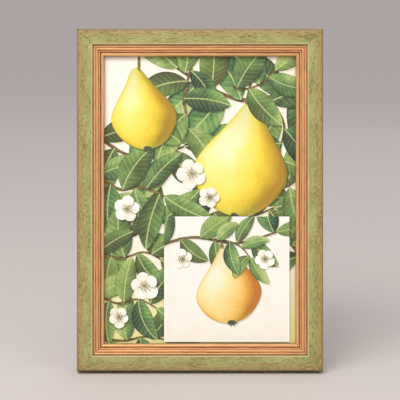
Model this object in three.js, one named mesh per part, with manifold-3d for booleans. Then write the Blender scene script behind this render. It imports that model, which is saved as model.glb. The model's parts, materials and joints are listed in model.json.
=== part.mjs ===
// A framed picture on an easel back: a mitred timber frame with a gilt slip inside it, a picture on board
// with a smaller card raised on foam pads, a back panel held by framer's points, and a hinged strut.
// Millimetres, +Z up.
// The front faces -Y and leans back; the picture stands on its rear bottom edge and on the strut's foot.

import * as THREE from 'three';
import { mergeVertices } from 'three/addons/utils/BufferGeometryUtils.js';
import Module from 'manifold-3d';

const wasm = await Module();
wasm.setup();

// ---- Driving dimensions ----
const SIGHT_WIDTH = 194; // the opening that shows the picture
const SIGHT_HEIGHT = 291;
const FACE_WIDTH = 27.4; // from the frame's outer side to the sight edge
const LEAN = THREE.MathUtils.degToRad(9.5); // the panel leans back
const STRUT_SPREAD = THREE.MathUtils.degToRad(18.5); // between the panel and the open strut
const GAP = 0.3; // between neighbours

const RAIL_DEPTH = 20; // back plane to the top of the painted face
const RAIL_BACK_WIDTH = 11; // timber left behind the slip's rebate
const LIP_EDGE = 15.9; // the painted lip's inner side
const LIP_UNDERSIDE = 13.6; // back plane to the ledge that the slip fits under
const SLIP_SEAT = 16.7; // height of the slip's flat in the groove beside the lip
const SLIP_TOP = 17.3; // height of the slip's outer fillet
const REBATE_EDGE = 23.4; // the slip's rebate wall
const REBATE_HEIGHT = 8.5; // back plane to the underside of the slip's lip
const SHEET_CLEARANCE = 0.5; // round the picture and its boards

const PRINT_THICKNESS = 0.4;
const BOARD_THICKNESS = 1.5;
const PANEL_THICKNESS = 2.7;

const CARD_SIZE = 127;
const CARD_THICKNESS = 1.4;
const CARD_RIGHT_OF_CENTRE = 27.2;
const CARD_BELOW_CENTRE = 80.3;
const PAD_SIZE = 24;
const PAD_THICKNESS = 0.6;
const PAD_INSET = 18; // card edge to pad centre

const POINT_LENGTH = 15;
const POINT_IN_WOOD = 5;
const POINT_WIDTH = 6.4;
const POINT_THICKNESS = 0.4;

const V_NAIL_LEG = 7;
const V_NAIL_THICKNESS = 0.6;
const V_NAIL_DEPTH = 7;
const V_NAIL_INSET = 3.4;

const HINGE_HEIGHT = 236; // along the panel from its bottom edge
const PIN_BEHIND = 2.2; // hinge axis behind the frame's back plane
const PIN_RADIUS = 0.8;
const KNUCKLE_BORE = 1.15;
const KNUCKLE_RADIUS = 1.9;
const KNUCKLE_END = 15; // half the hinge's width
const CENTRE_KNUCKLE = 5.6; // half the moving knuckle's width
const LEAF_THICKNESS = 0.7;
const LEAF_HEIGHT = 15;
const HOLE_RADIUS = 1.65; // for shanks
const BLOCK_WIDTH = 58; // the hinge block on the back panel
const BLOCK_HEIGHT = 22;
const SHANK_RADIUS = 1.3;
const FIXING_OUT = 9.5; // hinge fixings either side of the middle
const FIXING_FROM_AXIS = 9;

const STRUT_TOP_WIDTH = 42;
const STRUT_FOOT_WIDTH = 80;
const STRUT_THICKNESS = 3;
const STRUT_TOP_BELOW = 2.7; // hinge axis to the strut's top edge

const SCREW_HEAD_RADIUS = 2.7;
const RIVET_HEAD_RADIUS = 3.2;
const NAIL_HEAD_RADIUS = 2;
const NAIL_RADIUS = 0.9;

const HANGER_LENGTH = 44;
const HANGER_WIDTH = 9;
const HANGER_THICKNESS = 0.8;
const HANGER_FROM_TOP = 6.5;
const HANGER_TEETH = 9;
const NAIL_LENGTH = 9;
const NAIL_OUT = HANGER_LENGTH / 2 - 3.5; // hanger nails either side of the middle

const BUMPER_RADIUS = 5;
const BUMPER_THICKNESS = 1.8;
const BUMPER_INSET = 13; // from the frame's outer side
const BUMPER_HEIGHT = 12;

const ROUND_STEPS = 24;

// ---- Derived sizes ----
const OUTER_WIDTH = SIGHT_WIDTH + 2 * FACE_WIDTH;
const OUTER_HEIGHT = SIGHT_HEIGHT + 2 * FACE_WIDTH;
const SHEET_WIDTH = OUTER_WIDTH - 2 * (REBATE_EDGE + SHEET_CLEARANCE);
const SHEET_HEIGHT = OUTER_HEIGHT - 2 * (REBATE_EDGE + SHEET_CLEARANCE);
const MITRE_SETBACK = GAP * Math.SQRT1_2; // leaves GAP between the two faces of a mitre
const RIGHT_ANGLE = Math.PI / 2;

// The stack behind the slip's lip: how far each front face lies behind the panel's back plane.
// Minus is before it.
const PRINT_FRONT = -(REBATE_HEIGHT - GAP);
const BOARD_FRONT = PRINT_FRONT + PRINT_THICKNESS + GAP;
const PANEL_FRONT = BOARD_FRONT + BOARD_THICKNESS + GAP;
const PANEL_REAR = PANEL_FRONT + PANEL_THICKNESS;
const BLOCK_FRONT = PANEL_REAR + GAP;
const BLOCK_THICKNESS = PIN_BEHIND - KNUCKLE_RADIUS - GAP - BLOCK_FRONT;
const PAD_FRONT = PRINT_FRONT - GAP - PAD_THICKNESS;
const CARD_FRONT = PAD_FRONT - GAP - CARD_THICKNESS;

// ---- Materials ----
const material = (color, roughness, metalness = 0) =>
  new THREE.MeshStandardMaterial({ color, roughness, metalness });
const sagePaint = material(0xa59b69, 0.75);
const copperLeaf = material(0xc88c5a, 0.4, 0.6);
const artPaper = material(0xf0e8c8, 0.7);
const cardStock = material(0xf5eedf, 0.7);
const greyBoard = material(0xa8a39a, 0.9);
const hardboard = material(0x7a5638, 0.8);
const blackBoard = material(0x26241f, 0.8);
const zincSteel = material(0xb4b4b0, 0.35, 1);
const brassPlate = material(0xb89a58, 0.35, 1);
const whiteFoam = material(0xe6e4dc, 0.9);
const feltPad = material(0x3a342c, 0.95);

// ---- Solids ----
function toSolid(geometry) {
  const bare = geometry.clone();
  bare.deleteAttribute('normal');
  bare.deleteAttribute('uv');
  const merged = mergeVertices(bare, 1e-4);
  return new wasm.Manifold(new wasm.Mesh({
    numProp: 3,
    vertProperties: new Float32Array(merged.attributes.position.array),
    triVerts: new Uint32Array(merged.index.array),
  }));
}

function toGeometry(solid) {
  const mesh = solid.getMesh();
  const geometry = new THREE.BufferGeometry();
  geometry.setAttribute('position', new THREE.BufferAttribute(mesh.vertProperties, 3));
  geometry.setIndex(new THREE.BufferAttribute(mesh.triVerts, 1));
  return geometry;
}

function cut(geometry, cutters) {
  return toGeometry(cutters.reduce((solid, cutter) => solid.subtract(toSolid(cutter)), toSolid(geometry)));
}

function join(geometries) {
  const [first, ...rest] = geometries.map(toSolid);
  return toGeometry(rest.reduce((solid, part) => solid.add(part), first));
}

function mesh(name, geometry, finish) {
  const piece = new THREE.Mesh(geometry, finish);
  piece.name = name;
  return piece;
}

const outlineOf = (points) => new THREE.Shape(points.map(([x, y]) => new THREE.Vector2(x, y)));

const extrude = (shape, depth) =>
  new THREE.ExtrudeGeometry(shape, { depth, bevelEnabled: false, curveSegments: 6 });

function roundHole(shape, x, y, radius) {
  const hole = new THREE.Path();
  hole.absarc(x, y, radius, 0, 2 * Math.PI, true);
  shape.holes.push(hole);
}

// A sheet in the panel's plane, its outline in x and z and its front face behind the back plane.
function sheet(shape, front, thickness) {
  const geometry = extrude(shape, thickness);
  geometry.rotateX(RIGHT_ANGLE);
  return geometry.translate(0, front + thickness, 0);
}

function rectangle(width, height, x, z) {
  const [right, top] = [width / 2, height / 2];
  return outlineOf([[x - right, z - top], [x + right, z - top], [x + right, z + top], [x - right, z + top]]);
}

// A turned fixing along y, its profile given as [radius, y] from the front end to the rear.
function turned(profile, x, z) {
  const points = profile.map(([radius, y]) => new THREE.Vector2(radius, y));
  return new THREE.LatheGeometry(points, ROUND_STEPS).translate(x, 0, z);
}

function peg(radius, from, to, x, z) {
  return turned([[0, from], [radius, from], [radius, to], [0, to]], x, z);
}

// ---- Moulding sections: x is the distance in from the outer side, y the height above the back plane ----
function railSection() {
  const section = new THREE.Shape();
  section.moveTo(0, 0);
  section.lineTo(RAIL_BACK_WIDTH, 0);
  section.lineTo(RAIL_BACK_WIDTH, LIP_UNDERSIDE);
  section.lineTo(LIP_EDGE, LIP_UNDERSIDE);
  section.lineTo(LIP_EDGE, 18.8);
  section.quadraticCurveTo(LIP_EDGE, 19.5, LIP_EDGE - 0.8, 19.6);
  section.quadraticCurveTo(8, RAIL_DEPTH + 0.6, 2, 19.5);
  section.quadraticCurveTo(0, 19.2, 0, 17.4);
  section.closePath();
  return section;
}

function slipSection() {
  const outer = RAIL_BACK_WIDTH + GAP;
  const section = new THREE.Shape();
  section.moveTo(outer, 0);
  section.lineTo(REBATE_EDGE, 0);
  section.lineTo(REBATE_EDGE, REBATE_HEIGHT);
  section.lineTo(FACE_WIDTH, REBATE_HEIGHT);
  section.lineTo(FACE_WIDTH, 11.6);
  section.quadraticCurveTo(FACE_WIDTH, 12.6, 26.6, 13.0);
  section.quadraticCurveTo(25.4, 15.5, 24.0, 13.5);
  section.lineTo(23.5, 13.5);
  section.lineTo(23.3, 14.3);
  section.lineTo(22.2, 14.6);
  section.lineTo(21.5, 15.8);
  section.quadraticCurveTo(20.2, 18.8, 18.8, 16.2);
  section.lineTo(18.2, SLIP_TOP);
  section.lineTo(17.2, SLIP_TOP);
  section.lineTo(16.8, SLIP_SEAT);
  section.lineTo(LIP_EDGE + GAP, SLIP_SEAT);
  section.lineTo(LIP_EDGE + GAP, LIP_UNDERSIDE - GAP);
  section.lineTo(outer, LIP_UNDERSIDE - GAP);
  section.closePath();
  return section;
}

// A length of moulding along z with mitred ends: each point moves in by its distance from the outer side.
function mitred(section, length) {
  const geometry = extrude(section, length);
  const places = geometry.attributes.position;
  for (let i = 0; i < places.count; i += 1) {
    const setback = places.getX(i) + MITRE_SETBACK;
    places.setZ(i, places.getZ(i) < length / 2 ? setback : length - setback);
  }
  return geometry;
}

// ---- Fixings in a side's own frame: x in from the outer side, y up from the back plane, z along ----
function flatPart(points, bottom, thickness) {
  const geometry = extrude(outlineOf(points.map(([inward, along]) => [inward, -along])), thickness);
  geometry.rotateX(-RIGHT_ANGLE);
  return geometry.translate(0, bottom, 0);
}

function vNail(length, atEnd, grow) {
  const outer = V_NAIL_INSET - grow;
  const inner = V_NAIL_INSET + V_NAIL_THICKNESS + grow;
  const tip = V_NAIL_INSET + V_NAIL_LEG + grow;
  const corner = [[outer, outer], [tip, outer], [tip, inner], [inner, inner], [inner, tip], [outer, tip]];
  const points = atEnd ? corner.map(([x, z]) => [x, length - z]).reverse() : corner;
  return flatPart(points.reverse(), grow ? -1 : 0.1, V_NAIL_DEPTH + (grow ? 1 + grow : 0));
}

function framersPoint(along, grow) {
  const half = POINT_WIDTH / 2 + grow;
  const start = REBATE_EDGE - POINT_IN_WOOD - grow;
  const end = start + POINT_LENGTH + 2 * grow;
  const outline = [
    [start, along], [start + 3, along + half], [end - 2, along + half], [end, along + half / 2],
    [end, along - half / 2], [end - 2, along - half], [start + 3, along - half],
  ];
  const bottom = -PANEL_REAR - GAP - POINT_THICKNESS - grow;
  return flatPart(outline, bottom, POINT_THICKNESS + 2 * grow);
}

// ---- The four sides ----
const frame = new THREE.Group();

function side(name, length, pointCount, cornerName) {
  const group = new THREE.Group();
  const spots = Array.from({ length: pointCount }, (_, i) => ((i + 0.5) / pointCount) * length);
  const grooves = [vNail(length, false, GAP), vNail(length, true, GAP)];
  if (name === 'top') {
    for (const reach of [-1, 1]) {
      const along = length / 2 + reach * NAIL_OUT;
      grooves.push(peg(SHANK_RADIUS, -1, NAIL_LENGTH + GAP, HANGER_FROM_TOP, along));
    }
  }
  group.add(mesh(`rail_${name}`, cut(mitred(railSection(), length), grooves), sagePaint));
  const slots = spots.map((along) => framersPoint(along, GAP));
  group.add(mesh(`slip_${name}`, cut(mitred(slipSection(), length), slots), copperLeaf));
  group.add(mesh(`v_nail_${cornerName}`, vNail(length, false, 0), zincSteel));
  spots.forEach((along, i) => {
    group.add(mesh(`point_${name}_${i + 1}`, framersPoint(along, 0), zincSteel));
  });
  return group;
}

// Turns a side's frame into the panel's: inward, forward and along become its x, y and z.
function placeSide(group, inward, along, corner) {
  const forward = new THREE.Vector3(0, -1, 0);
  const turn = new THREE.Matrix4().makeBasis(inward, forward, along);
  group.quaternion.setFromRotationMatrix(turn);
  group.position.copy(corner);
  frame.add(group);
}

const toRight = new THREE.Vector3(1, 0, 0);
const toLeft = new THREE.Vector3(-1, 0, 0);
const upwards = new THREE.Vector3(0, 0, 1);
const downwards = new THREE.Vector3(0, 0, -1);
const halfWidth = OUTER_WIDTH / 2;
placeSide(side('bottom', OUTER_WIDTH, 2, 'bottom_left'), upwards, toRight,
  new THREE.Vector3(-halfWidth, 0, 0));
placeSide(side('right', OUTER_HEIGHT, 3, 'bottom_right'), toLeft, upwards,
  new THREE.Vector3(halfWidth, 0, 0));
placeSide(side('top', OUTER_WIDTH, 2, 'top_right'), downwards, toLeft,
  new THREE.Vector3(halfWidth, 0, OUTER_HEIGHT));
placeSide(side('left', OUTER_HEIGHT, 3, 'top_left'), toRight, downwards,
  new THREE.Vector3(-halfWidth, 0, OUTER_HEIGHT));

// ---- The picture: print, mount board, raised card and its pads ----
const middle = OUTER_HEIGHT / 2;
const sheetOutline = () => rectangle(SHEET_WIDTH, SHEET_HEIGHT, 0, middle);
const cardX = CARD_RIGHT_OF_CENTRE;
const cardZ = middle - CARD_BELOW_CENTRE;

frame.add(mesh('print_sheet', sheet(sheetOutline(), PRINT_FRONT, PRINT_THICKNESS), artPaper));
frame.add(mesh('mount_board', sheet(sheetOutline(), BOARD_FRONT, BOARD_THICKNESS), greyBoard));
const cardOutline = rectangle(CARD_SIZE, CARD_SIZE, cardX, cardZ);
frame.add(mesh('raised_card', sheet(cardOutline, CARD_FRONT, CARD_THICKNESS), cardStock));
const padOut = CARD_SIZE / 2 - PAD_INSET;
for (const [column, right] of [['left', -1], ['right', 1]]) {
  for (const [row, up] of [['lower', -1], ['upper', 1]]) {
    const outline = rectangle(PAD_SIZE, PAD_SIZE, cardX + right * padOut, cardZ + up * padOut);
    frame.add(mesh(`foam_pad_${row}_${column}`, sheet(outline, PAD_FRONT, PAD_THICKNESS), whiteFoam));
  }
}

// ---- The back: panel, hinge block, fixed leaf, pin and screws ----
function backPanel() {
  const outline = sheetOutline();
  for (const right of [-1, 1]) {
    roundHole(outline, right * FIXING_OUT, HINGE_HEIGHT + FIXING_FROM_AXIS, HOLE_RADIUS);
  }
  return sheet(outline, PANEL_FRONT, PANEL_THICKNESS);
}

function hingeBlock() {
  const outline = rectangle(BLOCK_WIDTH, BLOCK_HEIGHT, 0, HINGE_HEIGHT + FIXING_FROM_AXIS);
  for (const right of [-1, 1]) {
    roundHole(outline, right * FIXING_OUT, HINGE_HEIGHT + FIXING_FROM_AXIS, HOLE_RADIUS);
  }
  return sheet(outline, BLOCK_FRONT, BLOCK_THICKNESS);
}

// The knuckle is a tube along x between two places, round the hinge axis at y = 0, z = 0.
function knuckle(from, to) {
  const ring = new THREE.Shape();
  ring.absarc(0, 0, KNUCKLE_RADIUS, 0, 2 * Math.PI, false);
  roundHole(ring, 0, 0, KNUCKLE_BORE);
  const geometry = new THREE.ExtrudeGeometry(ring, {
    depth: to - from, bevelEnabled: false, curveSegments: 20,
  });
  geometry.rotateY(RIGHT_ANGLE);
  return geometry.translate(from, 0, 0);
}

// Both leaves lie before the axis, tangent to the knuckles. Up is 1 for the fixed leaf, -1 for the strut's.
function leafPlate(outline, up) {
  const shape = outlineOf(outline.map(([x, z]) => [x, up * z]));
  for (const right of [-1, 1]) {
    roundHole(shape, right * FIXING_OUT, up * FIXING_FROM_AXIS, HOLE_RADIUS);
  }
  return sheet(shape, -KNUCKLE_RADIUS, LEAF_THICKNESS);
}

const LEAF_CLEAR = KNUCKLE_RADIUS + 0.5; // from the axis to a leaf's edge beside the other leaf's knuckle

function fixedLeaf() {
  const [end, notch, top] = [KNUCKLE_END, CENTRE_KNUCKLE + 0.4, LEAF_HEIGHT];
  const outline = [
    [-end, 0], [-notch, 0], [-notch, LEAF_CLEAR], [notch, LEAF_CLEAR], [notch, 0], [end, 0],
    [end, top - 3], [end - 3, top], [3 - end, top], [-end, top - 3],
  ];
  const parts = [leafPlate(outline, 1), knuckle(-end, -notch), knuckle(notch, end)];
  return join(parts).translate(0, PIN_BEHIND, HINGE_HEIGHT);
}

const screwX = [-FIXING_OUT, FIXING_OUT];
const screwZ = HINGE_HEIGHT + FIXING_FROM_AXIS;
const screwSeat = PIN_BEHIND - KNUCKLE_RADIUS + LEAF_THICKNESS + GAP;
frame.add(mesh('back_panel', backPanel(), hardboard));
frame.add(mesh('hinge_block', hingeBlock(), hardboard));
frame.add(mesh('hinge_fixed_leaf', fixedLeaf(), zincSteel));
const pin = new THREE.CylinderGeometry(PIN_RADIUS, PIN_RADIUS, 2 * KNUCKLE_END - 0.4, ROUND_STEPS);
pin.rotateZ(RIGHT_ANGLE);
frame.add(mesh('hinge_pin', pin.translate(0, PIN_BEHIND, HINGE_HEIGHT), zincSteel));
screwX.forEach((x, i) => {
  const profile = [
    [0, PANEL_REAR - 2], [SHANK_RADIUS, PANEL_REAR - 1], [SHANK_RADIUS, screwSeat],
    [SCREW_HEAD_RADIUS, screwSeat], [SCREW_HEAD_RADIUS, screwSeat + 0.4], [1.6, screwSeat + 1.1],
    [0, screwSeat + 1.2],
  ];
  frame.add(mesh(`hinge_screw_${i + 1}`, turned(profile, x, screwZ), zincSteel));
});

// ---- Sawtooth hanger on the top rail, and bumpers on the bottom rail ----
function sawtoothHanger() {
  const [end, top] = [HANGER_LENGTH / 2, OUTER_HEIGHT - HANGER_FROM_TOP + HANGER_WIDTH / 2];
  const bottom = top - HANGER_WIDTH;
  const toothed = HANGER_LENGTH - 16;
  const pitch = toothed / HANGER_TEETH;
  const teeth = Array.from({ length: HANGER_TEETH }, (_, i) => {
    const start = -toothed / 2 + i * pitch;
    return [[start, bottom], [start + pitch / 2, bottom + 2]];
  }).flat();
  const outline = outlineOf([
    [-end, bottom + 1.5], [1.5 - end, bottom], ...teeth, [toothed / 2, bottom], [end - 1.5, bottom],
    [end, bottom + 1.5], [end, top], [-end, top],
  ]);
  for (const right of [-1, 1]) {
    roundHole(outline, right * NAIL_OUT, OUTER_HEIGHT - HANGER_FROM_TOP, SHANK_RADIUS);
  }
  return sheet(outline, GAP, HANGER_THICKNESS);
}

frame.add(mesh('sawtooth_hanger', sawtoothHanger(), brassPlate));
[-1, 1].forEach((right, i) => {
  const seat = GAP + HANGER_THICKNESS + GAP;
  const profile = [
    [0, -NAIL_LENGTH], [NAIL_RADIUS, 1.5 - NAIL_LENGTH], [NAIL_RADIUS, seat], [NAIL_HEAD_RADIUS, seat],
    [NAIL_HEAD_RADIUS, seat + 0.5], [0, seat + 0.7],
  ];
  const nail = turned(profile, right * NAIL_OUT, OUTER_HEIGHT - HANGER_FROM_TOP);
  frame.add(mesh(`hanger_nail_${i + 1}`, nail, brassPlate));
});
for (const [name, right] of [['left', -1], ['right', 1]]) {
  const out = right * (halfWidth - BUMPER_INSET);
  const disc = peg(BUMPER_RADIUS, GAP, GAP + BUMPER_THICKNESS, out, BUMPER_HEIGHT);
  frame.add(mesh(`bumper_${name}`, disc, feltPad));
}

// ---- The strut, in a frame on the hinge axis: closed it lies along the panel, and the turn opens it ----
const strutGroup = new THREE.Group();
strutGroup.position.set(0, PIN_BEHIND, HINGE_HEIGHT);
strutGroup.rotation.x = STRUT_SPREAD;
frame.add(strutGroup);

const STRUT_FRONT = -KNUCKLE_RADIUS + LEAF_THICKNESS + GAP;
const STRUT_TILT = STRUT_SPREAD - LEAN; // the open strut from upright
const AXIS_HEIGHT = HINGE_HEIGHT * Math.cos(LEAN) - PIN_BEHIND * Math.sin(LEAN);

function strutBoard() {
  const length = AXIS_HEIGHT / Math.cos(STRUT_TILT) + 2 * STRUT_THICKNESS;
  const [top, foot] = [STRUT_TOP_WIDTH / 2, STRUT_FOOT_WIDTH / 2];
  const outline = outlineOf([
    [-foot, -length], [foot, -length], [top, -STRUT_TOP_BELOW - 5], [top - 5, -STRUT_TOP_BELOW],
    [5 - top, -STRUT_TOP_BELOW], [-top, -STRUT_TOP_BELOW - 5],
  ]);
  for (const x of screwX) {
    roundHole(outline, x, -FIXING_FROM_AXIS, HOLE_RADIUS);
  }
  const blockSide = 2 * STRUT_FOOT_WIDTH;
  const belowFloor = new THREE.BoxGeometry(blockSide, blockSide, blockSide);
  belowFloor.translate(0, 0, -blockSide / 2 - AXIS_HEIGHT);
  belowFloor.rotateX(-STRUT_TILT);
  return cut(sheet(outline, STRUT_FRONT, STRUT_THICKNESS), [belowFloor]);
}

// The heel above the moving knuckle meets the fixed leaf when the strut is open, and stops it there.
function strutLeaf() {
  const [end, notch, foot] = [KNUCKLE_END, CENTRE_KNUCKLE, LEAF_HEIGHT];
  const outline = [
    [-notch, 0], [notch, 0], [notch, LEAF_CLEAR], [end, LEAF_CLEAR], [end, foot - 3], [end - 3, foot],
    [3 - end, foot], [-end, foot - 3], [-end, LEAF_CLEAR], [-notch, LEAF_CLEAR],
  ].reverse();
  const heel = new THREE.BoxGeometry(2 * notch, 0.8, 5);
  heel.translate(0, -KNUCKLE_RADIUS + LEAF_THICKNESS + GAP + 0.4, 1.4 + 2.5);
  heel.rotateX(-STRUT_SPREAD);
  return join([leafPlate(outline, -1), knuckle(-notch, notch), heel]);
}

strutGroup.add(mesh('strut', strutBoard(), blackBoard));
strutGroup.add(mesh('hinge_strut_leaf', strutLeaf(), zincSteel));
screwX.forEach((x, i) => {
  const tail = -KNUCKLE_RADIUS - GAP;
  const head = STRUT_FRONT + STRUT_THICKNESS + GAP;
  const profile = [
    [0, tail - 0.6], [2, tail - 0.6], [2.4, tail], [SHANK_RADIUS, tail], [SHANK_RADIUS, head],
    [RIVET_HEAD_RADIUS, head], [2.6, head + 0.6], [1.2, head + 0.9], [0, head + 1],
  ];
  strutGroup.add(mesh(`strut_rivet_${i + 1}`, turned(profile, x, -FIXING_FROM_AXIS), zincSteel));
});

// ---- Lean the whole back, and put the origin under the middle of its box ----
frame.rotation.x = -LEAN;
const group = new THREE.Group();
group.add(frame);
group.updateMatrixWorld(true);
const box = new THREE.Box3().setFromObject(group, true);
const centre = box.getCenter(new THREE.Vector3());
frame.position.set(-centre.x, -centre.y, -box.min.z);

export default group;
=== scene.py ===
# %% [markdown]
# # A framed picture on an easel back
# A ready-made picture frame is a mitred moulding with a gilt slip inside it. A print and its boards are
# held in the rebate from behind by framer's points, and a hinged strut lets it stand on a table. This
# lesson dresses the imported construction: it rebuilds the mouldings with their worn paint and rubbed leaf,
# draws a generic pear print and its small raised card as printed sheets, and finishes the back.

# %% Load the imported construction
import json
import math
import random

import bmesh
import bpy
from mathutils import Matrix, Vector, noise
from mathutils.geometry import delaunay_2d_cdt


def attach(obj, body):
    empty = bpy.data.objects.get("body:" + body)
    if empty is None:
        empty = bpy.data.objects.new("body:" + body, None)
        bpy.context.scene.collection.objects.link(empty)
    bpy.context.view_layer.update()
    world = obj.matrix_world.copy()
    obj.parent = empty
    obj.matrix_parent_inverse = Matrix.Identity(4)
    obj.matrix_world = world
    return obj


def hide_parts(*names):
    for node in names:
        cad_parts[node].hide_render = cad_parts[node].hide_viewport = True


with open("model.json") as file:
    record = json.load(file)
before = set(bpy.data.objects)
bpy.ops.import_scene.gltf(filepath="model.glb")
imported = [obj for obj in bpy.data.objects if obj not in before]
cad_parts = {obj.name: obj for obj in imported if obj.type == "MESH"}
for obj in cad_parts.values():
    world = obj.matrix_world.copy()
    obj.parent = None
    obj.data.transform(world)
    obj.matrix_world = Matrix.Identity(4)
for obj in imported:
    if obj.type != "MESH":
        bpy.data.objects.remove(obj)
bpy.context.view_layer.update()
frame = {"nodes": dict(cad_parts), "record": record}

MM = 0.001
print("packed nodes:", len(frame["nodes"]))

# %% [markdown]
# The panel leans back and the strut leans the other way, so every piece is modelled upright in the panel's
# own frame, with y = 0 on the frame's back plane and z = 0 at its bottom edge. One matrix then stands it in
# place. The imported back-face mount gives the panel's lean, so its angle is not typed.

# %% The panel's own frame
record = frame["record"]
back_face = next(m for m in record["mounts"] if m["name"] == "back_face")
back_normal = Vector(back_face["axis"])
back_spot = Vector(back_face["pos_m"])
LEAN = math.atan2(-back_normal.z, back_normal.y)
FOOT_Y = back_spot.y - back_spot.z * math.tan(LEAN)
STAND = Matrix.Translation((0, FOOT_Y, 0)) @ Matrix.Rotation(-LEAN, 4, "X")
UPRIGHT = STAND.inverted()


def upright_box(node):
    """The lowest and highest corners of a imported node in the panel's own frame."""
    places = [UPRIGHT @ v.co for v in frame["nodes"][node].data.vertices]
    return Vector(map(min, *places)), Vector(map(max, *places))


outer_low = Vector(map(min, upright_box("rail_left")[0], upright_box("rail_bottom")[0]))
outer_high = Vector(map(max, upright_box("rail_right")[1], upright_box("rail_top")[1]))
sheet_low, sheet_high = upright_box("print_sheet")
SHEET_MIDDLE = (sheet_low + sheet_high) / 2
HALF_WIDTH = outer_high.x
HEIGHT = outer_high.z
print(f"lean {math.degrees(LEAN):.2f} deg, frame {2000 * HALF_WIDTH:.1f} x {1000 * HEIGHT:.1f} mm")

# %% [markdown]
# The camera looks square on to the leaning panel, from a metre and a half away with a long lens, so the
# moulding shows the same width on all four sides. It comes first so that every later choice can be judged
# in its frame.

# %% Camera
CAMERA_DISTANCE = 1.5
VIEW_WIDTH = 0.4033  # across the picture's front plane
SENSOR = 36.0
camera_data = bpy.data.cameras.new("Camera")
camera_data.sensor_width = SENSOR
camera_data.lens = SENSOR * CAMERA_DISTANCE / VIEW_WIDTH
camera = bpy.data.objects.new("Camera", camera_data)
bpy.context.scene.collection.objects.link(camera)
aim = STAND @ Vector((0, outer_low.y, HEIGHT / 2))
facing = -back_normal
camera.location = aim + facing * CAMERA_DISTANCE
camera.rotation_euler = (-facing).to_track_quat("-Z", "Y").to_euler()
bpy.context.scene.camera = camera
print(f"lens {camera_data.lens:.0f} mm, pitched {math.degrees(LEAN):.1f} deg down")

# %% [markdown]
# A surface is described by shader nodes. Written as Python expressions they read like the maker's recipe:
# `Value` wraps one socket, and its operators add Math nodes. `Finish` is one material. Its `node` method
# makes any other node from a type, its settings and its inputs, and the short methods after it name the
# few patterns that the recipes use.

# %% Shader helpers
def srgb(red, green, blue):
    """A colour given as seen on a screen, 0 to 255, turned into light."""
    def channel(c):
        c /= 255
        return c / 12.92 if c <= 0.04045 else ((c + 0.055) / 1.055) ** 2.4
    return channel(red), channel(green), channel(blue), 1.0


class Value:
    """One shader socket, with Python's operators acting on it."""

    def __init__(self, finish, socket):
        self.finish, self.socket = finish, socket

    def maths(self, operation, *others):
        return self.finish.node("ShaderNodeMath", {"operation": operation}, dict(enumerate((self, *others))))

    def __add__(self, other):
        return self.maths("ADD", other)

    def __sub__(self, other):
        return self.maths("SUBTRACT", other)

    def __mul__(self, other):
        return self.maths("MULTIPLY", other)

    def __truediv__(self, other):
        return self.maths("DIVIDE", other)

    def __pow__(self, other):
        return self.maths("POWER", other)

    def __rsub__(self, other):
        return self * -1 + other

    __radd__, __rmul__ = __add__, __mul__

    def __abs__(self):
        return self.maths("ABSOLUTE")

    def fraction(self):
        return self.maths("FRACT")

    def least(self, other):
        return self.maths("MINIMUM", other)

    def most(self, other):
        return self.maths("MAXIMUM", other)

    def rise(self, start, end):
        """0 before start and 1 after end, smooth between. With start past end it falls instead."""
        limits = {"From Min": start, "From Max": end, "To Min": 0, "To Max": 1}
        if start > end:
            limits.update({"From Min": end, "From Max": start, "To Min": 1, "To Max": 0})
        settings = {"interpolation_type": "SMOOTHSTEP"}
        return self.finish.node("ShaderNodeMapRange", settings, {"Value": self, **limits})


class Finish:
    """One material, built from the Principled shader's constants and from patterns."""

    def __init__(self, name, constants=None):
        self.material = bpy.data.materials.new(name)
        self.material.use_nodes = True
        self.tree = self.material.node_tree
        self.shader = self.tree.nodes["Principled BSDF"]
        for key, value in (constants or {}).items():
            self.shader.inputs[key].default_value = value

    def node(self, kind, settings=None, inputs=None, output=0):
        made = self.tree.nodes.new(kind)
        for key, value in (settings or {}).items():
            if key == "stops":
                while len(made.color_ramp.elements) < len(value):
                    made.color_ramp.elements.new(0.5)
                for element, (place, colour) in zip(made.color_ramp.elements, value):
                    element.position, element.color = place, colour
            else:
                setattr(made, key, value)
        for key, value in (inputs or {}).items():
            if isinstance(value, Value):
                self.tree.links.new(value.socket, made.inputs[key])
            else:
                made.inputs[key].default_value = value
        return Value(self, made.outputs[output])

    def attribute(self, name):
        return self.node("ShaderNodeAttribute", {"attribute_name": name}, output="Fac")

    def vector_attribute(self, name):
        return self.parts(self.node("ShaderNodeAttribute", {"attribute_name": name}, output="Vector"))

    def uv(self, name):
        return self.node("ShaderNodeUVMap", {"uv_map": name})

    def parts(self, vector):
        split = self.node("ShaderNodeSeparateXYZ", None, {0: vector}).socket.node
        return [Value(self, output) for output in split.outputs]

    def point(self, x, y, z=0.0):
        return self.node("ShaderNodeCombineXYZ", None, {0: x, 1: y, 2: z})

    def object_place(self):
        return self.node("ShaderNodeTexCoord", None, None, "Object")

    def noise(self, vector, scale, detail=2.0, roughness=0.5, distortion=0.0):
        inputs = {"Vector": vector, "Scale": scale, "Detail": detail, "Roughness": roughness,
                  "Distortion": distortion}
        return self.node("ShaderNodeTexNoise", None, inputs)

    def cells(self, vector, scale, output="Distance"):
        return self.node("ShaderNodeTexVoronoi", None, {"Vector": vector, "Scale": scale}, output)

    def mix(self, share, first, second, blend="MIX"):
        settings = {"data_type": "RGBA", "blend_type": blend, "clamp_factor": True}
        return self.node("ShaderNodeMix", settings, {0: share, 6: first, 7: second}, 2)

    def ramp(self, value, stops):
        settings = {"stops": [(place, srgb(*colour)) for place, colour in stops]}
        return self.node("ShaderNodeValToRGB", settings, {0: value})

    def bump(self, height, distance, strength=1.0):
        inputs = {"Height": height, "Distance": distance, "Strength": strength}
        self.feed("Normal", self.node("ShaderNodeBump", None, inputs))

    def feed(self, socket, value):
        self.tree.links.new(value.socket, self.shader.inputs[socket])


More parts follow.
